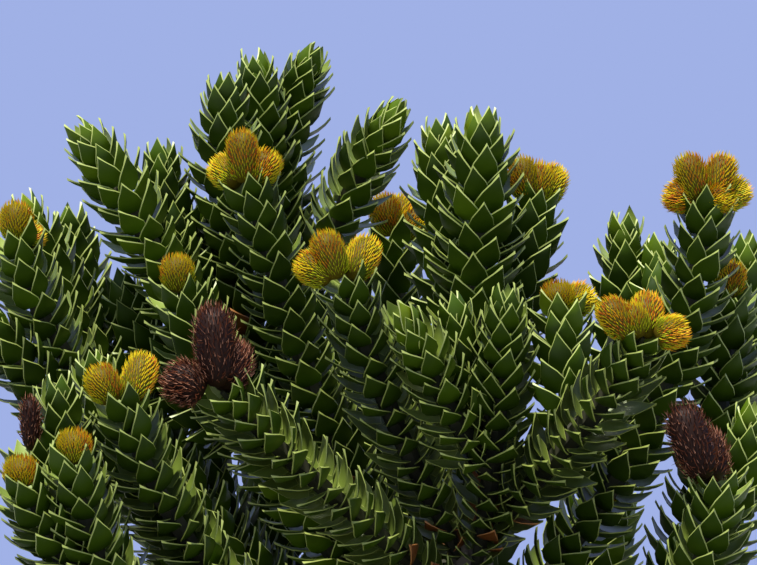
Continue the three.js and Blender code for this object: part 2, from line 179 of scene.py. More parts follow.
# The top of the crown, by the tips that are seen from the front, and the tops of their cones
crownTop = {
    "leader": dict(start=trunkLook["top"] + limbRule["gap"], tip=(14, 524, 0), lean=2, sag=0, girth=1.12,
        shoots=[
        dict(at=0.34, tip=(-34, 515, 95), lean=8),
        dict(at=0.3, tip=(73, 417, 95), lean=14, tops=[(55, 474), (104, 462), (81, 468)]),
    ]),
    "front_right_arm": dict(start=4600, tip=(199, 262, -270), lean=42, sag=-6, girth=1.08,
        tops=[(150, 308), (205, 317), (255, 275), (179, 305)], shoots=[
        dict(at=0.6, tip=(104, 294, -110), lean=4, tops=[(99, 330), (140, 320)]),
    ]),
    "front_centre": dict(start=4565, tip=(40, 322, -165), lean=12, sag=12, shoots=[
        dict(at=0.46, tip=(-70, 298, -190), lean=44),
        dict(at=0.62, tip=(-14, 310, -130), lean=10),
    ]),
    "front_crest": dict(start=4585, tip=(-144, 328, -175), lean=24, sag=6,
        tops=[(-172, 388), (-112, 381), (-202, 355)]),
    "front_left_arm": dict(start=4540, tip=(-285, 199, -262), lean=54, sag=-2, cones="brown",
        tops=[(-297, 306), (-269, 264), (-356, 222)], shoots=[
        dict(at=0.68, tip=(-334, 314, -140), lean=12, tops=[(-338, 361)]),
    ]),
    "left_crest": dict(start=4490, tip=(-256, 438, -60), lean=18,
        tops=[(-264, 505), (-296, 469), (-225, 480)]),
    "tall_peak": dict(start=4550, tip=(-187, 597, 150), lean=-34, shoots=[
        dict(at=0.61, tip=(-94, 531, 60), lean=44, sag=-4),
        dict(at=0.66, tip=(-245, 592, 120), lean=2),
    ]),
    "left_peak": dict(start=4468, tip=(-279, 569, 40), lean=-6, shoots=[
        dict(at=0.5, tip=(-302, 420, 110), lean=6),
    ]),
    "far_left_arm": dict(start=4420, tip=(-435, 511, -10), lean=33, sag=12, shoots=[
        dict(at=0.66, tip=(-354, 489, 70), lean=2),
        dict(at=0.5, tip=(-396, 338, 70), lean=14),
    ]),
    "left_edge": dict(start=4370, tip=(-506, 428, 60), lean=20, sag=14, shoots=[
        dict(at=0.52, tip=(-458, 416, 140), lean=4, sag=6),
        dict(at=0.6, tip=(-522, 372, -50), lean=14, tops=[(-522, 422), (-495, 390)]),
        dict(at=0.48, tip=(-548, 300, -60), lean=40),
    ]),
    "low_left_arm": dict(start=4340, tip=(-400, 187, -330), lean=20, sag=10,
        tops=[(-435, 232), (-370, 247)], shoots=[
        dict(at=0.62, tip=(-430, 250, -230), lean=12),
    ]),
    "corner_left_arm": dict(start=4240, tip=(-458, 118, -390), lean=12,
        tops=[(-453, 160)], shoots=[
        dict(at=0.62, tip=(-471, 222, -285), lean=4),
        dict(at=0.66, tip=(-514, 92, -380), lean=26, tops=[(-518, 129)]),
        dict(at=0.7, tip=(-504, 130, -310), lean=8, cones="spent", tops=[(-506, 199)]),
    ]),
    "right_crest": dict(start=4500, tip=(272, 418, -40), lean=4, sag=20,
        tops=[(246, 477), (258, 458), (296, 477), (220, 431), (323, 439), (304, 429)], shoots=[
        dict(at=0.5, tip=(178, 407, 110), lean=-6),
        dict(at=0.66, tip=(218, 379, 90), lean=4),
    ]),
    "right_edge": dict(start=4300, tip=(298, 308, 40), lean=2, sag=34,
        tops=[(299, 354)], shoots=[
        dict(at=0.66, tip=(318, 382, 150), lean=4),
    ]),
    "low_right_arm": dict(start=4350, tip=(286, 94, -240), lean=4, cones="brown",
        tops=[(238, 191), (264, 162)], shoots=[
        dict(at=0.6, tip=(322, 190, -130), lean=8),
    ]),
    "back_right_low": dict(start=4330, tip=(164, 70, 190), lean=10, tops=[(150, 100)]),
    "back_centre": dict(start=4440, tip=(-85, 378, 210), lean=2,
        tops=[(-104, 431), (-77, 429), (-48, 411)]),
    "back_left_low": dict(start=4300, tip=(-239, 130, 215), lean=10, shoots=[
        dict(at=0.5, tip=(-302, 160, 130), lean=10),
    ]),
    "behind_leader": dict(start=4520, tip=(22, 345, 400), lean=20),
    "behind_left": dict(start=4360, tip=(-195, 265, 440), lean=20),
    "behind_centre": dict(start=4290, tip=(-60, 135, 590), lean=26),
    "behind_right": dict(start=4390, tip=(160, 180, 440), lean=22),
    "behind_far_left": dict(start=4240, tip=(-365, 130, 400), lean=26),
    "behind_far_right": dict(start=4240, tip=(292, 70, 400), lean=26),
}

coneRule = dict(
    widths={"yellow": 42, "brown": 56, "spent": 26},
    depth=20,  # how far apart in depth the cones of one tip stand, by a wave
    depthTurn=2.4, depthStart=1.3,
    footOut=0.35,  # how far a cone's foot goes out towards its top, and up
    footUp=0.1, pairLength=58, pairFoot=14, pairTop=32,
)


def axisEnd(limb):  # the table gives the point of a bud, and the axis ends below it
    below = 0 if "tops" in limb else limbRule["budRise"] * cos(radians(limb["lean"]))
    return inSight(limb["tip"]) - below * up


def conesSeen(limb, end):
    fruit = []
    for i, (across, rise) in enumerate(limb.get("tops", ())):
        wave = sin(coneRule["depthTurn"] * i - coneRule["depthStart"])
        behind = limb["tip"][2] + coneRule["depth"] * wave
        top = inSight((across, rise, behind))
        base = end + coneRule["footOut"] * (top - end)
        base[2] = end[2] + coneRule["footUp"] * (top[2] - end[2])
        fruit.append((limb.get("cones", "yellow"), base, top))
    return fruit


def topShoots(name, limb):
    start = trunkCentre(min(limb["start"], trunkLook["top"]))
    start[2] = limb["start"]
    end = axisEnd(limb)
    sag = radians(limb.get("sag", limbRule["limbSag"]))
    slope = radians(90) if name == "leader" else slopeOf(start, end) - sag
    stem = limbCurve(start, end, slope, radians(limb["lean"]))
    made = [Shoot(stem, limb.get("girth", 1.0), True, conesSeen(limb, end))]
    for shoot in limb.get("shoots", ()):
        base = made[0].along(shoot["at"])[0]
        tip = axisEnd(shoot)
        leave = slopeOf(base, tip) - radians(shoot.get("sag", limbRule["shootSag"]))
        curve = limbCurve(base, tip, leave, radians(shoot["lean"]))
        made.append(Shoot(curve, shoot.get("girth", 1.0), fruit=conesSeen(shoot, tip)))
    return made


# The whorls below, from the top down; bare is how much of each limb has no leaves
whorls = [
    dict(height=3980, count=4, reach=740, rise=380, slope=14, turn=40, bare=0),
    dict(height=3590, count=4, reach=900, rise=360, slope=8, turn=0, bare=0),
    dict(height=3190, count=4, reach=1030, rise=320, slope=2, turn=52, bare=0),
    dict(height=2770, count=5, reach=1120, rise=250, slope=-6, turn=18, bare=0.26),
    dict(height=2320, count=5, reach=1130, rise=150, slope=-13, turn=60, bare=0.34),
]
whorlRule = dict(
    lean=38, turnSpread=7, reachSpread=0.06, heightSpread=30, sideStarts=(0.42, 0.44, 0.7),
    startSpread=0.03, sideTurn=50, sideTurnSpread=8,
    sideSlope=0.5,  # a share of the limb's own
    sideLean=32, sideRun=0.52, sideRunFade=0.34, sideRunSpread=0.12, sideRise=0.34,
    limbRise=0.35, limbRiseAtFoot=0.4,
    conesDownTo=2,  # this many whorls bear cones, on every second limb
)


def cut(curve, t):
    a, b, c, d = curve
    ab, bc, cd = a + (b - a) * t, b + (c - b) * t, c + (d - c) * t
    abc, bcd = ab + (bc - ab) * t, bc + (cd - bc) * t
    middle = abc + (bcd - abc) * t
    return np.array([a, ab, abc, middle]), np.array([middle, bcd, cd, d])


def conePair(shoot):
    end, tangent = shoot.along(1.0)
    side = unit(np.cross(tangent, up))
    fruit = []
    for hand in (-1, 1):
        base = end + hand * coneRule["pairFoot"] * side
        top = end + hand * coneRule["pairTop"] * side + coneRule["pairLength"] * tangent
        fruit.append(("yellow", base, top))
    return fruit


masses = {}  # the shoots of each mass, by its solid's name
boughs = {}
standingPlaces = []  # samples of all the shoots that stand so far, and their rooms
standingRooms = []


def stand(name, shoots):
    for shoot in shoots:
        masses.setdefault(name, []).append(shoot)
        places, rooms = shoot.samples()
        standingPlaces.append(places)
        standingRooms.append(rooms)


def isClear(shoot, elbowRoom, freeFrom=0):  # of all that stands, beyond a run from its foot
    places, rooms = shoot.samples()
    free = np.linalg.norm(places - places[0], axis=1) >= freeFrom
    others = np.concatenate(standingPlaces)
    room = elbowRoom * (rooms[free, None] + np.concatenate(standingRooms)[None, :])
    return bool(np.all(np.linalg.norm(places[free, None] - others[None, :], axis=2) > room))


def whorlShoots(whorl, w, i):
    evenly = whorl["turn"] + 360 * i / whorl["count"]
    angle = radians(evenly + whorlRule["turnSpread"] * jitter(w, i + 9))
    reach = whorl["reach"] * (1 + whorlRule["reachSpread"] * jitter(w + 5, i))
    start = trunkCentre(whorl["height"] + whorlRule["heightSpread"] * jitter(w + 3, i))
    end = levelAt(angle) * reach + (start[2] + whorl["rise"]) * up
    curve = limbCurve(start, end, radians(whorl["slope"]), radians(whorlRule["lean"]))
    stem = Shoot(curve, slim=True)
    seed = 10 * w + i
    if whorl["bare"]:
        bare, leafy = cut(stem.curve, whorl["bare"])
        leafy[0] += limbRule["gap"] * unit(leafy[1] - leafy[0])
        made = [Shoot(leafy)]
        bough = Shoot(bare)
    else:
        stem.fruit = conePair(stem) if w < whorlRule["conesDownTo"] and i % 2 else []
        made = [stem]
        bough = None
    for k, share in enumerate(whorlRule["sideStarts"]):
        hand = 1 if (i + k) % 2 else -1
        base = stem.along(share + whorlRule["startSpread"] * jitter(seed, k))[0]
        aside = whorlRule["sideTurn"] + whorlRule["sideTurnSpread"] * jitter(seed, k + 7)
        turn = angle + hand * radians(aside)
        fade = whorlRule["sideRun"] - whorlRule["sideRunFade"] * share
        run = reach * fade * (1 + whorlRule["sideRunSpread"] * jitter(seed, k + 13))
        tip = base + run * levelAt(turn)
        outward = whorlRule["limbRiseAtFoot"] + (1 - whorlRule["limbRiseAtFoot"]) * share
        tip[2] += whorlRule["sideRise"] * run + whorlRule["limbRise"] * whorl["rise"] * outward
        slope = radians(whorlRule["sideSlope"] * whorl["slope"])
        shoot = Shoot(limbCurve(base, tip, slope, radians(whorlRule["sideLean"])))
        if isClear(shoot, limbRule["elbowRoom"]):
            made.append(shoot)
    return made, bough


for name, limb in crownTop.items():
    stand(name, topShoots(name, limb))
for w, whorl in enumerate(whorls):
    for i in range(whorl["count"]):
        name = f"whorl_{len(whorls) - w}_{i + 1}"
        shoots, bough = whorlShoots(whorl, w, i)
        stand(f"{name}_spray", shoots)
        if bough:
            boughs[f"{name}_bough"] = bough
topMasses = list(crownTop)
whorlMasses = [name for name in masses if name not in crownTop]
print("limbs and shoots:", sum(len(shoots) for shoots in masses.values()))

# Finer twigs fill the whorls, each within the reach of its own mass
fineTwigs = dict(
    starts=(0.22, 0.4, 0.58, 0.76, 0.9), startSpread=0.04,
    shortBelow=300,  # shorter shoots have only every second twig
    turn=52, turnSpread=12, run=230, runFade=0.35, runSpread=0.2, rise=0.5, riseWithParent=0.6,
    slope=8, lean=30, girth=0.86, room=0.74,
    freeFrom=90,  # nearer its foot a twig is within its parent's own leaves
    overBox=8,
)


def twigOn(parent, share, hand, seed, k):
    base, heading = parent.along(share + fineTwigs["startSpread"] * jitter(seed, k))
    aside = fineTwigs["turn"] + fineTwigs["turnSpread"] * jitter(seed, k + 5)
    turn = atan2(heading[1], heading[0]) + hand * radians(aside)
    fade = fineTwigs["runFade"] * share
    run = fineTwigs["run"] * (1 - fade + fineTwigs["runSpread"] * jitter(seed, k + 11))
    tip = base + run * levelAt(turn)
    tip[2] += run * (fineTwigs["rise"] + max(0, heading[2]) * fineTwigs["riseWithParent"])
    curve = limbCurve(base, tip, radians(fineTwigs["slope"]), radians(fineTwigs["lean"]))
    return Shoot(curve, fineTwigs["girth"])


def isWithin(name, twig):
    low, high = (np.array(corner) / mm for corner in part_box(name))
    places = twig.samples()[0]
    over = fineTwigs["overBox"]
    return bool(np.all(places > low - over) and np.all(places < high + over))


def addFineTwigs(name, seed):
    made = 0
    for p, parent in enumerate(list(masses[name])):
        for k, share in enumerate(fineTwigs["starts"]):
            if parent.length < fineTwigs["shortBelow"] and k % 2:
                continue
            for hand in ((1, -1) if (k + p) % 2 else (-1, 1)):
                twig = twigOn(parent, share, hand, seed + p, k)
                if isClear(twig, fineTwigs["room"], fineTwigs["freeFrom"]) and isWithin(name, twig):
                    stand(name, [twig])
                    made += 1
                    break
    return made


fineCount = sum(addFineTwigs(name, 20 + 3 * n) for n, name in enumerate(whorlMasses))
topLength = sum(s.length for n in topMasses for s in masses[n])
whorlLength = sum(s.length for n in whorlMasses for s in masses[n])
print("finer twigs:", fineCount, "leafy metres:", round(topLength * mm, 1), round(whorlLength * mm, 1))


# Colours: plain greens and pale margins, dealt out by shoot and by leaf
# The upper faces are painted paler and the lower faces darker than the leaves' own green: painted sunlight
# on top and painted shade underneath.
leafShades = [  # lower face, upper face, margin; the last is for dead leaves
    ((40, 60, 2), (90, 107, 38), (140, 152, 72)),
    ((49, 71, 3), (108, 126, 46), (150, 162, 80)),
    ((60, 84, 5), (122, 140, 54), (160, 172, 88)),
    ((80, 104, 10), (140, 158, 66), (172, 184, 98)),
    ((110, 130, 18), (158, 172, 78), (188, 198, 114)),
    ((104, 58, 22), (146, 88, 38), (172, 116, 62)),
]
leafFinish = dict(
    roughness=0.46, coat=0.08, coatRoughness=0.35,
    specular=(0.18, 0.5, 0.45),  # in the order of the colours
    sharpAngle=32,
)


def plainMaterial(name, colour, roughness, coat=0.0, coatRoughness=0.3, specular=0.5):
    material = bpy.data.materials.new(name)
    material.use_nodes = True
    shader = material.node_tree.nodes["Principled BSDF"]
    shader.inputs["Base Color"].default_value = screenColour(*colour)
    shader.inputs["Roughness"].default_value = roughness
    shader.inputs["Specular IOR Level"].default_value = specular
    shader.inputs["Coat Weight"].default_value = coat
    shader.inputs["Coat Roughness"].default_value = coatRoughness
    material.diffuse_color = screenColour(*colour)
    return material


leafParts = ["lowerFace", "upperFace", "margin"]
leafMaterials = []
for shade, trio in enumerate(leafShades):
    for part, colour, specular in zip(leafParts, trio, leafFinish["specular"]):
        leafMaterials.append(plainMaterial(f"leaf{shade}_{part}", colour, leafFinish["roughness"],
                                           leafFinish["coat"], leafFinish["coatRoughness"], specular))


# Modelling helpers
def mode(name):
    bpy.ops.object.mode_set(mode=name)


def selectMesh(action):
    bpy.ops.mesh.select_all(action=action)


def deselectAll():
    if bpy.context.mode != "OBJECT":
        mode("OBJECT")
    bpy.ops.object.select_all(action="DESELECT")


def pick(test, kind="VERT"):  # in edit mode, selects what a test on its place allows
    bpy.ops.mesh.select_mode(type=kind)
    selectMesh("DESELECT")
    cage = bmesh.from_edit_mesh(bpy.context.object.data)
    for vertex in cage.verts:
        vertex.select_set(test(vertex.co))
    cage.select_flush_mode()
    bmesh.update_edit_mesh(bpy.context.object.data)


def takeArrays(model):  # points in millimetres, triangles and their material numbers
    mesh = model.data
    mesh.calc_loop_triangles()
    points = np.empty(len(mesh.vertices) * 3)
    mesh.vertices.foreach_get("co", points)
    triangles = np.array([t.vertices for t in mesh.loop_triangles])
    parts = np.array([mesh.polygons[t.polygon_index].material_index for t in mesh.loop_triangles])
    bpy.data.objects.remove(model)
    return points.reshape(-1, 3) / mm, triangles, parts


def meshPiece(name, points, triangles, parts, materials, sharpAngle=None):
    mesh = bpy.data.meshes.new(name)
    mesh.vertices.add(len(points))
    mesh.vertices.foreach_set("co", (points * mm).astype(np.float32).ravel())
    mesh.loops.add(triangles.size)
    mesh.loops.foreach_set("vertex_index", triangles.astype(np.int32).ravel())
    mesh.polygons.add(len(triangles))
    mesh.polygons.foreach_set("loop_start", np.arange(0, triangles.size, 3, dtype=np.int32))
    mesh.polygons.foreach_set("material_index", parts.astype(np.int32))
    mesh.update(calc_edges=True)
    for material in materials:
        mesh.materials.append(material)
    piece = bpy.data.objects.new(name, mesh)
    bpy.context.collection.objects.link(piece)
    if sharpAngle is not None:
        deselectAll()
        piece.select_set(True)
        bpy.context.view_layer.objects.active = piece
        bpy.ops.object.shade_smooth_by_angle(angle=radians(sharpAngle))
    return piece


# A leaf: a stiff, keeled scale with a pale margin, broad near its foot and drawn out into a point
nearLeaf = dict(
    rows=[(0, 11.5, 0.0), (13, 14.8, -2.2), (26, 11.8, -3.1), (37, 5.4, -1.9)],  # along, half width, up
    tip=(47, 0, 0.8), margin=0.65, lowerDrop=0.8, upperDrop=0.3, keel=1.5,
)
farLeaf = dict(
    rows=[(0, 11.5, 0.0), (20, 14, -3.0)], tip=(46, 0, 0.6), margin=0, lowerDrop=0.9, keel=1.7,
)


def modelLeaf(name, look):
    deselectAll()
    bpy.ops.mesh.primitive_plane_add(size=1)
    leaf = bpy.context.object
    leaf.name = name
    mode("EDIT")
    pick(lambda co: co.y > 0)
    bpy.ops.mesh.delete(type="VERT")  # one edge is left, which becomes the leaf's foot
    lastY, lastHalf, lastZ = look["rows"][0]
    selectMesh("SELECT")
    bpy.ops.transform.translate(value=(0, 0.5, 0))
    bpy.ops.transform.resize(value=(2 * lastHalf * mm, 1, 1), center_override=(0, 0, 0))
    bpy.ops.mesh.subdivide(number_cuts=1)  # its middle carries the midrib
    for y, half, z in look["rows"][1:] + [look["tip"]]:
        step = (0, (y - lastY) * mm, (z - lastZ) * mm)
        bpy.ops.mesh.extrude_edges_move(TRANSFORM_OT_translate={"value": step})
        if half:
            bpy.ops.transform.resize(value=(half / lastHalf, 1, 1), center_override=(0, y * mm, z * mm))
        else:
            bpy.ops.mesh.merge(type="CENTER")
        lastY, lastHalf, lastZ = y, half, z
    selectMesh("SELECT")
    for _ in leafParts:
        leaf.data.materials.append(None)
    cage = bmesh.from_edit_mesh(leaf.data)
    cage.normal_update()
    if cage.faces[:][0].normal.z < 0:
        bpy.ops.mesh.flip_normals()
    for face in bmesh.from_edit_mesh(leaf.data).faces:
        face.material_index = leafParts.index("margin" if look["margin"] else "upperFace")
    if look["margin"]:
        bpy.ops.mesh.inset(use_boundary=True, use_even_offset=True, thickness=look["margin"] * mm)
        bpy.ops.transform.translate(value=(0, 0, -look["upperDrop"] * mm))
        for face in bmesh.from_edit_mesh(leaf.data).faces:
            if face.select:
                face.material_index = leafParts.index("upperFace")
    # A copy, turned over and let down, is the lower side with its keel.
    selectMesh("SELECT")
    bpy.ops.mesh.duplicate()
    bpy.ops.mesh.flip_normals()
    cage = bmesh.from_edit_mesh(leaf.data)
    for face in cage.faces:
        if face.select and face.material_index == leafParts.index("upperFace"):
            face.material_index = leafParts.index("lowerFace")
    for vertex in cage.verts:
        if vertex.select and not vertex.is_boundary:
            onMidrib = abs(vertex.co.x) < 0.1 * mm
            vertex.co.z -= (look["lowerDrop"] + look["keel"] * onMidrib) * mm
    bmesh.update_edit_mesh(leaf.data)
    selectMesh("SELECT")
    bpy.ops.mesh.remove_doubles(threshold=0.01 * mm)
    mode("OBJECT")
    return leaf


nearTemplate = takeArrays(modelLeaf("nearLeaf", nearLeaf))
farTemplate = takeArrays(modelLeaf("farLeaf", farLeaf))
print("triangles a leaf:", len(nearTemplate[1]), len(farTemplate[1]))

# How leaves are dealt out along a shoot, in millimetres and degrees
leafDeal = dict(
    perMetre=340,
    crowd=1.3,  # how much closer the last leaves follow each other
    crowdByCones=0.3,  # the share of that below cones
    crowdRun=24, stemRadius=13, stemInBud=0.45, stemByCones=0.7,
    open=57,  # from the shoot's axis
    openInBud=6, openByCones=46,
    openFlush=45,  # this year's leaves stand closer to the axis
    flushRun=(55, 150), openPower=0.5, closerInFront=20, domeRun=42, budRun=85, budSize=0.86,
    slimSize=0.62, openSpread=4.5, turnSpread=3.5, rollSpread=6, sizeSpread=0.06, curl=0.03,
    curlSpread=0.035, budCurl=0.05, clearOfFoot=24, clearOfTrunk=3,
    shortByCones=9,  # the leaves end this far below the cones
    shootShades=(0.3, 0.8, 1.2, 1.7),  # places in the row of shades
    shadeSpread=0.5, budShade=1.3, deadChance=0.0006, deadByTrunk=0.7, deadRun=34,
)
leafSeeds = {"group": 500, "massShade": 97, "massLeaves": 1000}


def trunkRadius(height):
    share = np.clip(height / trunkLook["top"], 0, 1) ** trunkLook["taper"]
    return trunkLook["footRadius"] + (trunkLook["topRadius"] - trunkLook["footRadius"]) * share


def dealOnShoot(shoot, seed, baseShade, fromTrunk):
    rng = np.random.default_rng(seed)
    deal = leafDeal
    fruiting = bool(shoot.fruit)
    # Places along the shoot: one leaf after another round the golden angle, closer at the tip
    run = np.linspace(0, shoot.length, 400)
    crowd = deal["crowd"] * (deal["crowdByCones"] if fruiting else 1)
    density = 1 + crowd * np.exp((run - shoot.length) / deal["crowdRun"])
    leavesBefore = np.cumsum(density) * run[1] * mm * deal["perMetre"]
    count = int(leavesBefore[-1])
    k = np.arange(count)
    shares = np.interp(k + 0.5, leavesBefore, run / shoot.length)
    centres, tangents = shoot.along(shares)
    sides = shoot.sideAt(tangents)
    normals = np.cross(sides, tangents)
    azimuth = (goldenAngle * k + rng.uniform(0, 2 * pi))[:, None]
    azimuth = azimuth + np.radians(rng.normal(0, deal["turnSpread"], (count, 1)))
    radial = np.cos(azimuth) * normals + np.sin(azimuth) * sides
    toTip = (1 - shares) * shoot.length
    young = 1 - smooth(toTip / deal["budRun"])
    # How far each leaf opens, from the closed bud to the older leaves
    last = deal["openByCones"] if fruiting else deal["openInBud"]
    flushStart, flushEnd = deal["flushRun"]
    older = smooth((toTip - flushStart) / (flushEnd - flushStart))
    widest = deal["openFlush"] + (deal["open"] - deal["openFlush"]) * older
    fromBud = np.clip(toTip / deal["domeRun"], 0, 1) ** deal["openPower"]
    opening = last + (widest - last) * fromBud + rng.normal(0, deal["openSpread"], count)
    opening -= deal["closerInFront"] * np.clip(-tangents[:, 1], 0, 1)
    opening = np.radians(opening)[:, None]
    girth = shoot.girth * np.ones(count)
    if shoot.slim:
        slim = smooth(shares * shoot.length / limbRule["fattenOver"])
        girth = girth * (deal["slimSize"] + (1 - deal["slimSize"]) * slim)
    size = girth * (1 - (1 - deal["budSize"]) * young)
    size = size * (1 + rng.normal(0, deal["sizeSpread"], count))
    stemEnd = deal["stemByCones"] if fruiting else deal["stemInBud"]
    stem = deal["stemRadius"] * girth * (1 + (stemEnd - 1) * young)
    feet = centres + stem[:, None] * radial
    lengthwise = np.cos(opening) * tangents + np.sin(opening) * radial
    inward = np.sin(opening) * tangents - np.cos(opening) * radial
    across = np.cross(lengthwise, inward)
    roll = np.radians(rng.normal(0, deal["rollSpread"], (count, 1)))
    across, inward = (
        np.cos(roll) * across + np.sin(roll) * inward,
        np.cos(roll) * inward - np.sin(roll) * across,
    )
    curl = rng.normal(deal["curl"], deal["curlSpread"], count) + deal["budCurl"] * young
    # Shades, with dead leaves near the top of the trunk
    shade = baseShade + deal["budShade"] * young**2 + rng.normal(0, deal["shadeSpread"], count)
    shade = np.clip(np.rint(shade), 0, len(leafShades) - 2).astype(int)
    fromTop = np.linalg.norm(feet - trunkCentre(trunkLook["top"]), axis=1)
    deadChance = deal["deadChance"] + deal["deadByTrunk"] * np.exp(-fromTop / deal["deadRun"])
    shade[rng.uniform(0, 1, count) < deadChance] = len(leafShades) - 1
    # No leaf starts inside the trunk, at the foot of a side shoot or among cones
    fromAxis = np.linalg.norm(feet[:, :2] - [trunkLook["bow"] * trunkLook["bowAtCrown"], 0], axis=1)
    keep = fromAxis > trunkRadius(feet[:, 2]) + deal["clearOfTrunk"]
    keep |= feet[:, 2] > trunkLook["top"]
    if not fromTrunk:
        keep &= shares * shoot.length > deal["clearOfFoot"]
    if fruiting:
        keep &= toTip > deal["shortByCones"]
    return [values[keep] for values in (feet, across, lengthwise, inward, size, curl, shade)]


def spread(values, directions):  # a model's measures, laid along every copy's own direction
    return np.atleast_2d(values)[..., None] * directions[:, None]


def repeated(triangles, pointCount, times):
    return (triangles[None] + (pointCount * np.arange(times))[:, None, None]).reshape(-1, 3)


def growLeaves(name, massNames, template, seed, lighter):
    points, triangles, parts = template
    dealt = []
    for m, massName in enumerate(massNames):
        for j, shoot in enumerate(masses[massName]):
            spray = np.random.default_rng(seed + leafSeeds["massShade"] * m + j)
            baseShade = spray.choice(leafDeal["shootShades"]) + lighter
            leafSeed = seed + leafSeeds["massLeaves"] * m + j
            dealt.append(dealOnShoot(shoot, leafSeed, baseShade, fromTrunk=j == 0))
    feet, across, lengthwise, inward, size, curl, shade = (np.concatenate(v) for v in zip(*dealt))
    x, y, z = points.T
    lift = z[None, :] + curl[:, None] * (y.max() * (y / y.max()) ** 2)[None, :]
    model = spread(x, across) + spread(y, lengthwise) + spread(lift, inward)
    places = feet[:, None] + size[:, None, None] * model
    low, high = (np.array(corner) / mm for corner in cadBox)  # no leaf reaches past the solids
    inside = ((places > low) & (places < high)).all(axis=(1, 2))
    places, shade = places[inside], shade[inside]
    leafTriangles = repeated(triangles, len(points), len(places))
    numbers = (parts[None] + len(leafParts) * shade[:, None]).ravel()
    print(name, len(places), "leaves,", len(leafTriangles), "triangles")
    places = places.reshape(-1, 3)
    return meshPiece(name, places, leafTriangles, numbers, leafMaterials, leafFinish["sharpAngle"])


pieces = []  # piece, record slot, the solids it stands for


def dealGroups(prefix, names, template, groupCount, lighter):
    for g in range(groupCount):
        group = names[g::groupCount]
        piece = growLeaves(f"{prefix}{g + 1}", group, template, leafSeeds["group"] * (g + 1), lighter)
        pieces.append((piece, "foliage", group))


# Leaves without margins would look darker, so their shades are lighter.
dealGroups("crownLeaves", topMasses, nearTemplate, groupCount=4, lighter=0)
dealGroups("whorlLeaves", whorlMasses, farTemplate, groupCount=3, lighter=0.9)


# The stems inside the leaves
twigLook = dict(
    radius=12.5, inShoot=0.9, tipRadius=3, taperRun=90, sides=6, step=55, colour=(46, 46, 26),
    roughness=0.8, sharpAngle=40,
)
stemMaterial = plainMaterial("greenBark", twigLook["colour"], twigLook["roughness"])


def tube(shoot, shares, radii, sides):
    centres, tangents = shoot.along(shares)
    level = shoot.sideAt(tangents)
    angles = 2 * pi * np.arange(sides) / sides
    normals = np.cross(level, tangents)
    rim = spread(np.cos(angles), normals) + spread(np.sin(angles), level)
    points = (centres[:, None] + radii[:, None, None] * rim).reshape(-1, 3)
    rings = len(centres)
    a = (np.arange(rings - 1)[:, None] * sides + np.arange(sides)[None]).ravel()
    b = (np.arange(rings - 1)[:, None] * sides + (np.arange(sides)[None] + 1) % sides).ravel()
    walls = np.concatenate([np.stack([a, b, b + sides], 1), np.stack([a, b + sides, a + sides], 1)])
    fan = np.arange(1, sides - 1)
    foot = np.stack([np.zeros_like(fan), fan + 1, fan], 1)
    last = (rings - 1) * sides
    end = np.stack([np.full_like(fan, last), last + fan, last + fan + 1], 1)
    return points, np.concatenate([walls, foot, end])


def joinArrays(parts):
    points, triangles, start = [], [], 0
    for somePoints, someTriangles in parts:
        points.append(somePoints)
        triangles.append(someTriangles + start)
        start += len(somePoints)
    return np.concatenate(points), np.concatenate(triangles)


def growStems(name, massNames):
    tubes = []
    for massName in massNames:
        for shoot in masses[massName]:
            shares = np.linspace(0, 1, max(3, int(shoot.length / twigLook["step"])))
            thick = twigLook["radius"] * shoot.girthAt(shares) * twigLook["inShoot"]
            fromTaper = shares * shoot.length - shoot.length + twigLook["taperRun"]
            radii = thick + (twigLook["tipRadius"] - thick) * smooth(fromTaper / twigLook["taperRun"])
            tubes.append(tube(shoot, shares, radii, twigLook["sides"]))
    points, triangles = joinArrays(tubes)
    print(name, len(triangles), "triangles")
    numbers = np.zeros(len(triangles))
    return meshPiece(name, points, triangles, numbers, [stemMaterial], twigLook["sharpAngle"])


pieces.append((growStems("crownTwigs", topMasses), "bark", topMasses))
pieces.append((growStems("whorlTwigs", whorlMasses), "bark", whorlMasses))


# Cones: an egg-shaped core, set all over with fine bracts that curve up
coneLooks = dict(
    yellow=dict(bracts=350, long=7.5, thick=0.85, lie=1.2, bend=0.35, core=0.85, stray=0.14),
    brown=dict(bracts=400, long=10, thick=0.8, lie=0.7, bend=0.5, core=0.79, stray=0.36),
    spent=dict(bracts=200, long=9, thick=0.8, lie=1.2, bend=0.4, core=0.78, stray=0.3),
)
coneShape = dict(
    power=2.5, sides=10, rings=9,
    sink=6,  # how deep a cone's foot stands in its shoot
    underTip=0.9, firstBract=0.06, steepest=4, bractSink=1.2, bractBelly=1.5, lieFade=0.55,
    lieSpread=0.16, longSpread=0.12, firstSeed=4000, sharpAngle=60,
)
# The dark core colour of both kinds is painted shade: it shows only in the gaps between the bracts.
yellowTones = dict(
    lime=(134, 146, 8), limeTip=(182, 178, 26), yellow=(206, 178, 18), orange=(206, 142, 20),
    red=(176, 84, 24), paintedShadeCore=(86, 72, 6),
)
brownTones = dict(
    deep=(60, 32, 18), rust=(98, 52, 30), pale=(170, 118, 90), paintedShadeCore=(34, 16, 8),
)
yellowMix = dict(
    ripeSpread=0.1, ripeOffset=(-0.05, 0.2), limeBelow=0.55, limeTipBelow=0.4, rustySide=0.1,
    rustyFrom=0.3, rustyShare=0.55, redShare=0.5, tipShares=(0.25, 0.55),
)
brownMix = {"deep": 0.6, "paleTip": 0.45}
coneFinish = {"roughness": 0.6, "specular": 0.15}


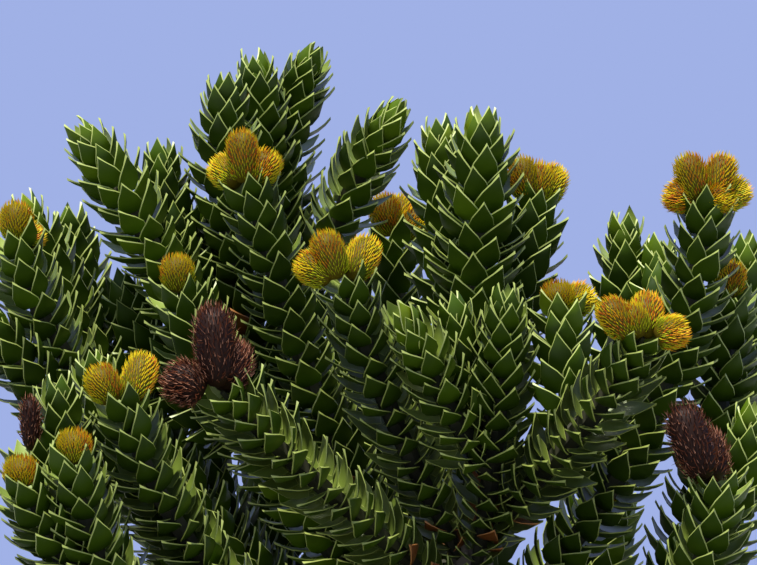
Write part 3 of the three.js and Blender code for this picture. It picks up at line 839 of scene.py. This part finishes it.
def modelConeCore():
    deselectAll()
    rings = coneShape["rings"]
    bpy.ops.mesh.primitive_uv_sphere_add(segments=coneShape["sides"], ring_count=rings, radius=0.5)
    core = bpy.context.object
    mode("EDIT")
    for ring in range(1, rings):
        height = -0.5 * cos(pi * ring / rings)
        pick(lambda co: abs(co.z - height) < 0.01)
        swell = coneRadius(height + 0.5) / (0.5 * sin(pi * ring / rings))
        bpy.ops.transform.resize(value=(swell, swell, 1), center_override=(0, 0, height))
    selectMesh("SELECT")
    bpy.ops.transform.translate(value=(0, 0, 0.5))
    mode("OBJECT")
    return core


def coneRadius(height):  # half width at a share of the height, for a cone one wide and one high
    off = np.abs(2 * np.asarray(height) - 1)
    return 0.5 * (1 - off ** coneShape["power"]) ** (1 / coneShape["power"])


def modelBract():  # one long, on +Y, bending towards +Z
    deselectAll()
    bpy.ops.mesh.primitive_cone_add(vertices=3, radius1=1, radius2=0, depth=1, end_fill_type="TRIFAN",
                                    location=(0, 0.5, 0), rotation=(-pi / 2, 0, 0))
    bract = bpy.context.object
    bpy.ops.object.transform_apply(location=True, rotation=True, scale=True)
    bract.data.materials.append(None)
    bract.data.materials.append(None)
    mode("EDIT")
    selectMesh("SELECT")
    bpy.ops.mesh.bisect(plane_co=(0, 0.5, 0), plane_no=(0, 1, 0))
    belly = coneShape["bractBelly"]
    bpy.ops.transform.resize(value=(belly, 1, belly), center_override=(0, 0.5, 0))
    cage = bmesh.from_edit_mesh(bract.data)
    for face in cage.faces:
        face.material_index = 1 if face.calc_center_median().y > 0.5 else 0
    bmesh.update_edit_mesh(bract.data)
    mode("OBJECT")
    return bract


corePoints, coreTriangles, _ = takeArrays(modelConeCore())
bractPoints, bractTriangles, bractParts = takeArrays(modelBract())
corePoints, bractPoints = corePoints * mm, bractPoints * mm  # both are one long here


def coneFrame(base, top):
    axis = unit(top - base)
    side = unit(np.cross([0.0, 1.0, 0.0], axis))
    return side, np.cross(axis, side), axis


def growCone(kind, base, top, seed):
    rng = np.random.default_rng(seed)
    look = coneLooks[kind]
    side, other, axis = coneFrame(base, top)
    width, length = coneRule["widths"][kind], np.linalg.norm(top - base) + coneShape["sink"]
    foot = base - coneShape["sink"] * axis
    coreWidth, coreLength = width * look["core"], length - look["long"] * coneShape["underTip"]
    core = foot + coreWidth * (corePoints[:, :1] * side + corePoints[:, 1:2] * other)
    core = core + coreLength * corePoints[:, 2:] * axis
    count = look["bracts"]
    k = np.arange(count)
    height = coneShape["firstBract"] + (1 - coneShape["firstBract"]) * (k + 0.5) / count
    around = goldenAngle * k
    radius = coneRadius(height)
    slope = np.gradient(radius * coreWidth, height * coreLength)
    slope = np.clip(slope, -coneShape["steepest"], coneShape["steepest"])
    out = np.cos(around)[:, None] * side + np.sin(around)[:, None] * other
    normal = unit(out - slope[:, None] * axis)
    spot = foot + (radius * coreWidth)[:, None] * out + (height * coreLength)[:, None] * axis
    spot = spot - coneShape["bractSink"] * normal
    lie = look["lie"] * (1 - coneShape["lieFade"] * height)[:, None]
    lie = lie + rng.normal(0, coneShape["lieSpread"], (count, 1))
    heading = unit(normal + lie * axis + look["stray"] * rng.normal(0, 1, (count, 3)))
    wide = unit(np.cross(heading, axis) + 1e-6)
    bendway = np.cross(wide, heading)
    long = look["long"] * (1 + rng.normal(0, coneShape["longSpread"], count))
    x, y, z = bractPoints.T
    places = spot[:, None] + look["thick"] * (spread(x, wide) + spread(z, bendway))
    places = places + long[:, None, None] * (spread(y, heading) + spread(look["bend"] * y**2, bendway))
    return core, places, height, rng


def growCones(name, kinds, tones, toneOf):
    toneNames = list(tones)
    materials = [plainMaterial(f"{name}_{tone}", colour, **coneFinish) for tone, colour in tones.items()]
    groups, numbers = [], []
    seed = coneShape["firstSeed"]
    allFruit = [fruit for shoots in masses.values() for shoot in shoots for fruit in shoot.fruit]
    for kind, base, top in allFruit:
        seed += 1
        if kind not in kinds:
            continue
        core, places, height, rng = growCone(kind, base, top, seed)
        groups.append((core, coreTriangles))
        # the core takes the dark colour that paints the shade between the bracts
        numbers.append(np.full(len(coreTriangles), toneNames.index("paintedShadeCore")))
        groups.append((places.reshape(-1, 3), repeated(bractTriangles, len(bractPoints), len(places))))
        body, tip = toneOf(height, rng)
        numbers.append(np.where(bractParts[None] == 1, tip[:, None], body[:, None]).ravel())
    points, triangles = joinArrays(groups)
    numbers = np.concatenate(numbers)
    print(name, len(triangles), "triangles")
    return meshPiece(name, points, triangles, numbers, materials, coneShape["sharpAngle"])


def yellowToneOf(height, rng):  # green at the foot, rusty on one side, yellow above
    lime, limeTip, yellow, orange, red, _ = range(len(yellowTones))
    mix, count = yellowMix, len(height)
    ripe = height + rng.normal(0, mix["ripeSpread"], count) + rng.uniform(*mix["ripeOffset"])
    side = np.cos(goldenAngle * np.arange(count) - rng.uniform(0, 2 * pi))
    rusty = (side > mix["rustySide"]) & (ripe > mix["rustyFrom"])
    rusty &= rng.uniform(0, 1, count) < mix["rustyShare"]
    chance = rng.uniform(0, 1, count)
    rust = np.where(chance < mix["redShare"], red, orange)
    body = np.select([rusty, ripe < mix["limeBelow"]], [rust, lime], yellow)
    orangeBelow, limeBelow = mix["tipShares"]
    tests = [rusty, ripe < mix["limeTipBelow"], chance < orangeBelow, chance < limeBelow]
    return body, np.select(tests, [orange, limeTip, orange, limeTip], yellow)


def brownToneOf(height, rng):
    deep, rust, pale, _ = range(len(brownTones))
    chance = rng.uniform(0, 1, len(height))
    body = np.where(chance < brownMix["deep"], deep, rust)
    return body, np.where(chance < brownMix["paleTip"], pale, rust)


kindsOn = {name: [kind for shoot in shoots for kind, _, _ in shoot.fruit] for name, shoots in masses.items()}
conesOn = [name for name, kinds in kindsOn.items() if kinds]
driedOn = [name for name in conesOn if set(kindsOn[name]) != {"yellow"}]
pieces.append((growCones("pollenCones", ("yellow",), yellowTones, yellowToneOf), "foliage", conesOn))
pieces.append((growCones("driedCones", ("brown", "spent"), brownTones, brownToneOf), "foliage", driedOn))


# Shader maths: a wrapped socket that can be added, subtracted and multiplied
class Wire:
    def __init__(self, paint, socket):
        self.paint = paint
        self.socket = socket

    def maths(self, operation, first, second):
        return self.paint.node("ShaderNodeMath", {"operation": operation}, {0: first, 1: second})

    def __add__(self, other):
        return self.maths("ADD", self, other)

    def __sub__(self, other):
        return self.maths("SUBTRACT", self, other)

    def __rsub__(self, other):
        return self.maths("SUBTRACT", other, self)

    def __mul__(self, other):
        return self.maths("MULTIPLY", self, other)

    __radd__ = __add__
    __rmul__ = __mul__


class Paint:  # a material and the nodes that feed it
    def __init__(self, name, roughness):
        self.material = bpy.data.materials.new(name)
        self.material.use_nodes = True
        self.tree = self.material.node_tree
        self.shader = self.tree.nodes["Principled BSDF"]
        self.shader.inputs["Roughness"].default_value = roughness

    def node(self, kind, settings=None, values=None, output=0):
        made = self.tree.nodes.new(kind)
        for key, value in (settings or {}).items():
            setattr(made, key, value)
        for key, value in (values or {}).items():
            if isinstance(value, Wire):
                self.tree.links.new(value.socket, made.inputs[key])
            else:
                made.inputs[key].default_value = value
        return Wire(self, made.outputs[output])

    def mix(self, share, first, second):
        colours = {"Factor": share, 6: first, 7: second}
        return self.node("ShaderNodeMix", {"data_type": "RGBA"}, colours, 2)

    def feed(self, socket, wire):
        self.tree.links.new(wire.socket, self.shader.inputs[socket])


# Bark: grey brown, with folds round the trunk, old leaf scars and darker cracks, and painted shade in the
# hollows
barkLook = dict(
    roughness=0.88, grey=(128, 120, 106), brown=(98, 84, 68), crack=(52, 44, 36),
    lichen=(146, 148, 124), stretch=(1, 1, 2.6),
    mottle=(7.0, 6.0),  # a noise's scale and detail
    grain=(90.0, 4.0), patches=(3.2, 3.0),
    toBrown=(0.38, 0.64),  # a stretch of noise or relief that turns into a share of colour
    toLichen=(0.56, 0.7), toCrackAndShade=(0.42, 0.12), mostLichen=0.55, grainInCracks=0.35,
    mottleInBump=0.5, bump=0.45, bumpDepth=0.004,
)


def barkMaterial():
    paint = Paint("bark", barkLook["roughness"])

    def noise(name, place):
        scale, detail = barkLook[name]
        values = {"Vector": place, "Scale": scale, "Detail": detail}
        return paint.node("ShaderNodeTexNoise", values=values)

    def share(name, wire, most=1.0):
        low, high = barkLook[name]
        return paint.node("ShaderNodeMapRange", values={0: wire, 1: low, 2: high, 3: 0.0, 4: most})

    names = ("grey", "brown", "crack", "lichen")
    grey, brown, crack, lichen = (screenColour(*barkLook[name]) for name in names)
    spot = paint.node("ShaderNodeTexCoord", output=3)
    stretched = paint.node("ShaderNodeMapping", values={0: spot, "Scale": barkLook["stretch"]})
    mottle = noise("mottle", stretched)
    grain = noise("grain", stretched)
    patches = noise("patches", spot)
    relief = paint.node("ShaderNodeAttribute", {"attribute_name": "relief"}, output=2)
    colour = paint.mix(share("toBrown", mottle), grey, brown)
    colour = paint.mix(share("toLichen", patches, barkLook["mostLichen"]), colour, lichen)
    # Darker where the relief sinks: the cracks' own darker colour, and painted shade in the valleys of folds
    # and scars.
    hollow = relief + barkLook["grainInCracks"] * (grain - 0.5)
    paint.feed("Base Color", paint.mix(share("toCrackAndShade", hollow), colour, crack))
    height = grain + barkLook["mottleInBump"] * mottle
    bump = {"Height": height, "Strength": barkLook["bump"], "Distance": barkLook["bumpDepth"]}
    paint.feed("Normal", paint.node("ShaderNodeBump", values=bump))
    return paint.material


barkShape = dict(
    sides=80, rings=(20, 16), fold=2.2, foldLength=27,
    foldWander=((1.3, 170), (0.9, 97)),  # how far the folds wander, and over what height
    scar=2.0, scarTurns=(8, 5), scarLengths=(118, 190), crack=3.0, crackBelow=900, crackTurns=9,
    crackWander=((1.6, 61), (0.8, 23)), crackPower=0.6,
    inShare=(0.3, 0.5, 0.35),  # how much of fold, scar and crack shows in the colour
    collar=8, collarHeight=34, sharpAngle=50,
)


def barkRelief(angle, height, girth):  # how far the bark stands out, and a share for its colour
    (farOne, runOne), (farTwo, runTwo) = barkShape["foldWander"]
    wander = farOne * np.sin(3 * angle + height / runOne)
    wander = wander + farTwo * np.sin(2 * angle - height / runTwo + 1)
    fold = np.sin(2 * pi * height / barkShape["foldLength"] + wander)
    turnsOne, turnsTwo = barkShape["scarTurns"]
    longOne, longTwo = barkShape["scarLengths"]
    scarOne = np.abs(np.sin(0.5 * (turnsOne * angle + 2 * pi * height / longOne)))
    scarTwo = np.abs(np.sin(0.5 * (turnsTwo * angle - 2 * pi * height / longTwo)))
    scars = np.sqrt(scarOne * scarTwo)
    old = np.clip(1 - height / barkShape["crackBelow"], 0, 1)
    (farOne, runOne), (farTwo, runTwo) = barkShape["crackWander"]
    wander = farOne * np.sin(height / runOne) + farTwo * np.sin(height / runTwo + 4 * angle)
    cracks = np.abs(np.sin(barkShape["crackTurns"] * angle + wander)) ** barkShape["crackPower"]
    depth = old * (1 - cracks)
    inFold, inScar, inCrack = barkShape["inShare"]
    share = np.clip(inFold * (fold + 1) + inScar * scars - inCrack * depth, 0, 1)
    folded = barkShape["fold"] * fold + barkShape["scar"] * (scars - 0.5)
    return girth * folded - barkShape["crack"] * depth, share


def setRelief(piece, share):
    relief = piece.data.attributes.new("relief", "FLOAT", "POINT")
    relief.data.foreach_set("value", share.astype(np.float32))


def modelTrunk():
    deselectAll()
    sides = barkShape["sides"]
    bpy.ops.mesh.primitive_cylinder_add(vertices=sides, radius=1, depth=1, location=(0, 0, 0.5))
    trunk = bpy.context.object
    trunk.name = "trunkBark"
    bpy.ops.object.transform_apply(location=True, rotation=True, scale=True)
    mode("EDIT")
    for rings in barkShape["rings"]:
        cage = bmesh.from_edit_mesh(trunk.data)
        bpy.ops.mesh.select_mode(type="EDGE")
        selectMesh("DESELECT")
        for edge in cage.edges:
            a, b = edge.verts
            edge.select_set(abs(a.co.x - b.co.x) + abs(a.co.y - b.co.y) < 1e-5)
        bmesh.update_edit_mesh(trunk.data)
        bpy.ops.mesh.subdivide(number_cuts=rings - 1, quadcorner="STRAIGHT_CUT")
    mode("OBJECT")
    mesh = trunk.data
    flat = np.empty(len(mesh.vertices) * 3)
    mesh.vertices.foreach_get("co", flat)
    x, y, z = flat.reshape(-1, 3).T
    angle = np.arctan2(y, x)
    height = z * trunkLook["top"]
    radius = trunkRadius(height)
    fade = np.clip(1 - height / trunkLook["flareHeight"], 0, 1) ** 2
    valley = trunkLook["flareValley"]
    lobes = valley + (1 - valley) * np.cos(trunkLook["flareLobes"] * angle)
    flare = trunkLook["flareReach"] * fade * lobes
    out, share = barkRelief(angle, height, radius / trunkLook["footRadius"])
    fromWhorls = [(height - whorl["height"]) / barkShape["collarHeight"] for whorl in whorls]
    collar = sum(np.exp(-(away**2)) for away in fromWhorls)
    reach = radius + flare + out + barkShape["collar"] * collar
    bow = trunkLook["bow"] * np.sin(pi * height / trunkLook["top"])
    places = np.stack([bow + reach * np.cos(angle), reach * np.sin(angle), height], 1)
    mesh.vertices.foreach_set("co", (places * mm).ravel())
    mesh.update()
    setRelief(trunk, share)
    bpy.ops.object.shade_smooth_by_angle(angle=radians(barkShape["sharpAngle"]))
    return trunk


boughShape = dict(
    footRadius=34, tipRadius=21, sides=28, step=7,
    reliefFrom=1500,  # their bark is like the trunk's above this height, and finer
    reliefGirth=0.45,
)


def modelBoughs(material):
    tubes, shares = [], []
    sides = boughShape["sides"]
    for bough in boughs.values():
        rings = max(8, int(bough.length / boughShape["step"]))
        along = np.linspace(0, 1, rings)
        points, triangles = tube(bough, along, np.ones(rings), sides)
        angle = np.tile(2 * pi * np.arange(sides) / sides, rings)
        height = np.repeat(along * bough.length, sides)
        taper = (boughShape["tipRadius"] - boughShape["footRadius"]) * height / bough.length
        out, share = barkRelief(angle, height + boughShape["reliefFrom"], boughShape["reliefGirth"])
        middle = np.repeat(bough.along(along)[0], sides, axis=0)
        radius = boughShape["footRadius"] + taper + out
        tubes.append((middle + radius[:, None] * (points - middle), triangles))
        shares.append(share)
    points, triangles = joinArrays(tubes)
    numbers = np.zeros(len(triangles))
    piece = meshPiece("boughBark", points, triangles, numbers, [material], barkShape["sharpAngle"])
    setRelief(piece, np.concatenate(shares))
    return piece


bark = barkMaterial()
trunkPiece = modelTrunk()
trunkPiece.data.materials.append(bark)
pieces.append((trunkPiece, "bark", ["trunk"]))
pieces.append((modelBoughs(bark), "bark", list(boughs)))
print("bark done")


# Stage: pale floor, even blue background, soft light from high up
stage = dict(
    floorSize=120, floor=(150, 150, 146), floorRoughness=0.9, sky=(160, 177, 230),
    sunStrength=7.0, sunAngle=6, sunColour=(1.0, 0.97, 0.9),
    sunTurn=(24, 0, -18),  # tilt from straight down, and the side it comes from
    exposure=0.0,
)


def addStage():
    deselectAll()
    bpy.ops.mesh.primitive_plane_add(size=stage["floorSize"], location=(0, 0, 0))
    floor = bpy.context.object
    floor.name = "floor"
    floor.data.materials.append(plainMaterial("paleFloor", stage["floor"], stage["floorRoughness"]))
    world = bpy.data.worlds.new("sky")
    world.use_nodes = True
    background = world.node_tree.nodes["Background"]
    background.inputs["Color"].default_value = screenColour(*stage["sky"])
    background.inputs["Strength"].default_value = 1.0
    bpy.context.scene.world = world
    bpy.ops.object.light_add(type="SUN", rotation=[radians(turn) for turn in stage["sunTurn"]])
    sun = bpy.context.object.data
    sun.energy = stage["sunStrength"]
    sun.angle = radians(stage["sunAngle"])
    sun.color = stage["sunColour"]
    bpy.context.scene.view_settings.view_transform = "Standard"
    bpy.context.scene.view_settings.exposure = stage["exposure"]


cameraLook = {"sensor": 36, "frameWidth": 870.55, "clipEnd": 500}


def addCamera():
    aim = np.array([sight["across"], 0.0, sight["height"]])
    back = sight["distance"] * np.array([0.0, -cos(sight["tilt"]), -sin(sight["tilt"])])
    turn = (pi / 2 + sight["tilt"], 0, 0)
    bpy.ops.object.camera_add(location=tuple((aim + back) * mm), rotation=turn)
    camera = bpy.context.object
    camera.data.sensor_width = cameraLook["sensor"]
    camera.data.lens = cameraLook["sensor"] * sight["distance"] / cameraLook["frameWidth"]
    camera.data.clip_end = cameraLook["clipEnd"]
    bpy.context.scene.camera = camera


addStage()
addCamera()

for piece, slot, nodes in pieces:
    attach(piece, "root")
    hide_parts(*nodes)
